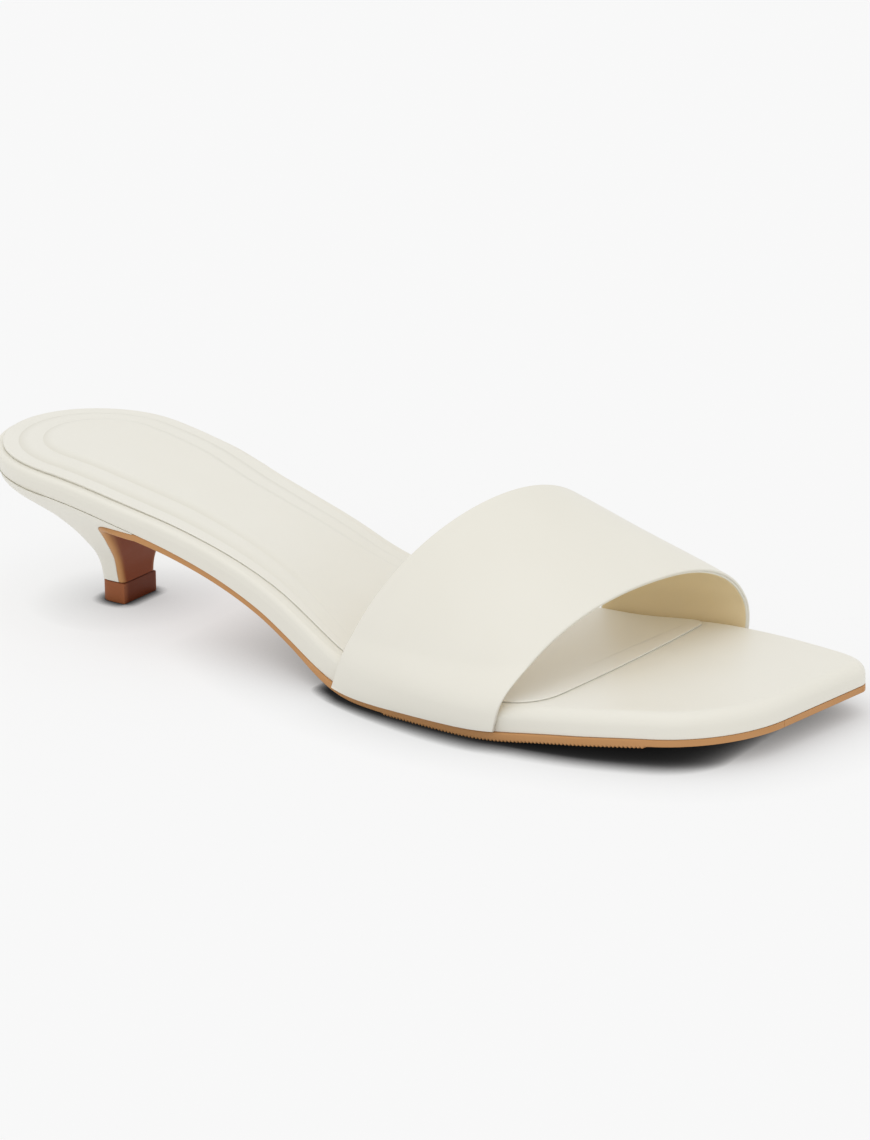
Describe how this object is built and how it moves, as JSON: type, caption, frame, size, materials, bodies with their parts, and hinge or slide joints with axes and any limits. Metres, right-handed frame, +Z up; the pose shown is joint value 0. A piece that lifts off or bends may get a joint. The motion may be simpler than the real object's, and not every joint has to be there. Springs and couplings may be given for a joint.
{
  "type": "kitten heel mule",
  "caption": "Backless slip-on shoe for the right foot with a wide strap, square toe, padded sock and low slim heel.",
  "frame": {"origin": "on the floor under the middle of the shoe's bounding box", "axes": "+X towards the toe, +Y towards the inner side of the foot, +Z up; the shoe stands on the plane z = 0"},
  "size_m": [0.2476, 0.0856, 0.052],
  "materials": {
    "leather": "smooth cream leather, softly glossy",
    "sock_leather": "soft cream lining leather, padded",
    "sole_leather": "tan sole leather, polished",
    "lift_rubber": "dense brown rubber, satin"
  },
  "bodies": {
    "root": {"footbed": "leather", "insole_sock": "sock_leather", "outsole": "sole_leather", "heel": "leather", "top_lift": "lift_rubber", "upper": "leather"}
  },
  "joints": []
}
